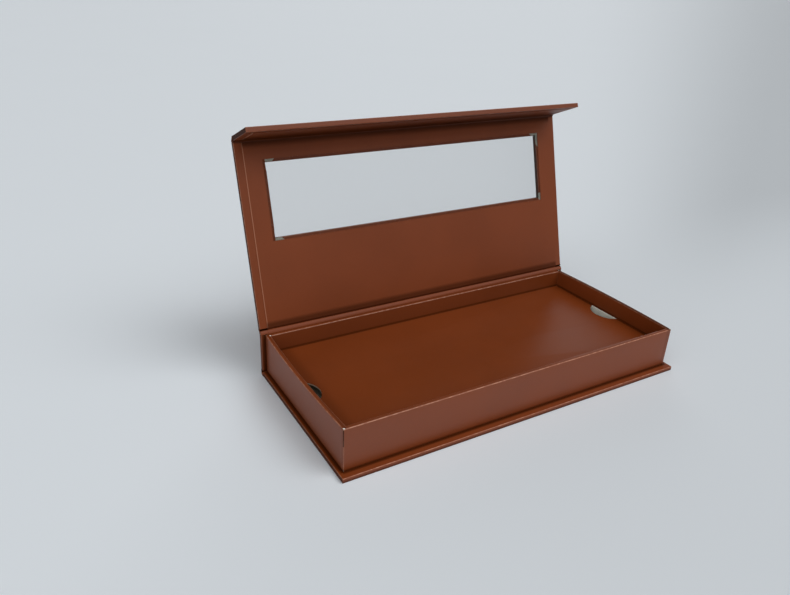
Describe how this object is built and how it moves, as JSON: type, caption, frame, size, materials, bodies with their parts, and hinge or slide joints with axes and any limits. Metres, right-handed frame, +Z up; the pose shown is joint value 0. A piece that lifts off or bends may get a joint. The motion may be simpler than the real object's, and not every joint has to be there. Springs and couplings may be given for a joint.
{
  "type": "rigid magnetic-closure presentation box",
  "caption": "Book-style rigid paper box with an open tray, a lifting platform with thumb notches, a hinged lid with a clear window and a magnetic front flap.",
  "frame": {"origin": "centre of the case's footprint on its underside, under the middle of the closed box", "axes": "+X along the hinge, towards the box's right side seen from the front; +Y from the front to the hinge; +Z up"},
  "size_m": [0.2, 0.1216, 0.1258],
  "materials": {
    "covering paper": "satin",
    "lining paper": "satin",
    "greyboard": "matte",
    "magnet": "satin",
    "clear film": "gloss",
    "platform paper": "satin",
    "raw card": "matte"
  },
  "bodies": {
    "base": {"base_board": "greyboard", "base_wrap": "covering paper", "spine_board": "greyboard", "spine_wrap": "covering paper", "spine_lining": "lining paper", "tray_floor": "greyboard", "tray_wall_front": "greyboard", "tray_wall_back": "greyboard", "tray_wall_left": "greyboard", "tray_wall_right": "greyboard", "tray_wrap": "covering paper", "tray_magnet_left": "magnet", "tray_magnet_right": "magnet", "lid_hinge_wrap": "covering paper", "lid_hinge_lining": "lining paper"},
    "lid": {"lid_board": "greyboard", "lid_wrap": "covering paper", "window_film": "clear film", "lid_lining": "lining paper", "flap_hinge_wrap": "covering paper"},
    "flap": {"flap_board": "greyboard", "flap_wrap": "covering paper", "flap_lining": "lining paper", "flap_magnet_left": "magnet", "flap_magnet_right": "magnet"},
    "platform": {"platform_card": "raw card", "platform_face": "platform paper", "platform_leg_front": "raw card", "platform_leg_back": "raw card", "platform_leg_left": "raw card", "platform_leg_right": "raw card"}
  },
  "joints": [
    {"name": "lid_hinge", "type": "hinge", "parent": "base", "child": "lid", "pos_m": [0, 0.0477, 0.0259], "axis": [-1, 0, 0], "range_deg": [-106.1, 85], "deforming": ["lid_hinge_wrap", "lid_hinge_lining"]},
    {"name": "flap_hinge", "type": "hinge", "parent": "lid", "child": "flap", "pos_m": [0, 0.07414, 0.11642], "axis": [-1, 0, 0], "range_deg": [-6.1, 83.9], "deforming": ["flap_hinge_wrap"]},
    {"name": "platform_lift", "type": "slide", "parent": "base", "child": "platform", "axis": [0, 0, 1], "range_m": [0, 0.009]}
  ]
}
